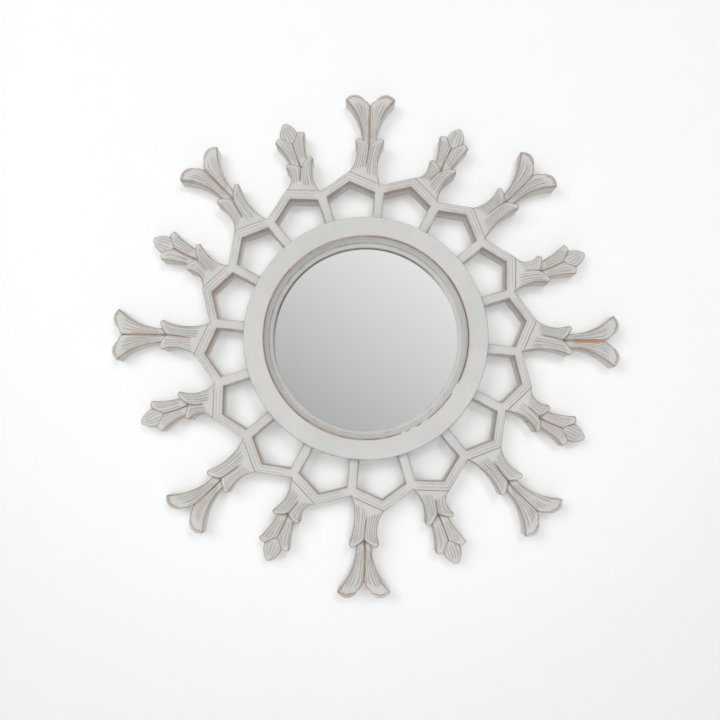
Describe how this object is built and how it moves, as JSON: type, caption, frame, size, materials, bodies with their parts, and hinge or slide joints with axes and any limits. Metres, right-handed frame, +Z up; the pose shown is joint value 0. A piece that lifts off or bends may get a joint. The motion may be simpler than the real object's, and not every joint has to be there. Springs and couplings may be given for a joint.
{
  "type": "sunburst mirror",
  "caption": "Round wall mirror in a turned wooden ring, with a pierced fret and carved flower and bud rays around it, painted pale grey with worn edges; hangs on a keyhole plate.",
  "frame": {"origin": "middle of the bounding box: on the ring's axis, half-way between the wall plane and the ring's front face", "axes": "+Z up, +X to the right as seen from the room, +Y towards the wall, so the mirror faces -Y"},
  "size_m": [0.6, 0.0336, 0.6],
  "materials": {
    "painted_wood": "matt chalk paint, worn through at the edges",
    "bare_wood": "bare",
    "hardboard": "bare",
    "mirror": "silvered",
    "plated_steel": "zinc plated"
  },
  "bodies": {
    "frame": {"mirror_ring": "painted_wood", "tulip_ray_1": "painted_wood", "tulip_ray_2": "painted_wood", "tulip_ray_3": "painted_wood", "tulip_ray_4": "painted_wood", "tulip_ray_5": "painted_wood", "tulip_ray_6": "painted_wood", "tulip_ray_7": "painted_wood", "tulip_ray_8": "painted_wood", "bud_ray_1": "painted_wood", "bud_ray_2": "painted_wood", "bud_ray_3": "painted_wood", "bud_ray_4": "painted_wood", "bud_ray_5": "painted_wood", "bud_ray_6": "painted_wood", "bud_ray_7": "painted_wood", "bud_ray_8": "painted_wood", "ring_dowels": "bare_wood", "joint_keys": "bare_wood", "mirror_glass": "mirror", "backing_board": "hardboard", "button_screws": "plated_steel", "hanger_plate": "plated_steel", "hanger_screws": "plated_steel"},
    "turn_button_1": {"turn_button_1": "plated_steel"},
    "turn_button_2": {"turn_button_2": "plated_steel"},
    "turn_button_3": {"turn_button_3": "plated_steel"},
    "turn_button_4": {"turn_button_4": "plated_steel"}
  },
  "joints": [
    {"name": "turn_button_1_swivel", "type": "hinge", "parent": "frame", "child": "turn_button_1", "pos_m": [0.08471, 0.0111, 0.08471], "axis": [0, 1, 0], "range_deg": [-90, 90]},
    {"name": "turn_button_2_swivel", "type": "hinge", "parent": "frame", "child": "turn_button_2", "pos_m": [0.08471, 0.0111, -0.08471], "axis": [0, 1, 0], "range_deg": [-90, 90]},
    {"name": "turn_button_3_swivel", "type": "hinge", "parent": "frame", "child": "turn_button_3", "pos_m": [-0.08471, 0.0111, -0.08471], "axis": [0, 1, 0], "range_deg": [-90, 90]},
    {"name": "turn_button_4_swivel", "type": "hinge", "parent": "frame", "child": "turn_button_4", "pos_m": [-0.08471, 0.0111, 0.08471], "axis": [0, 1, 0], "range_deg": [-90, 90]}
  ]
}
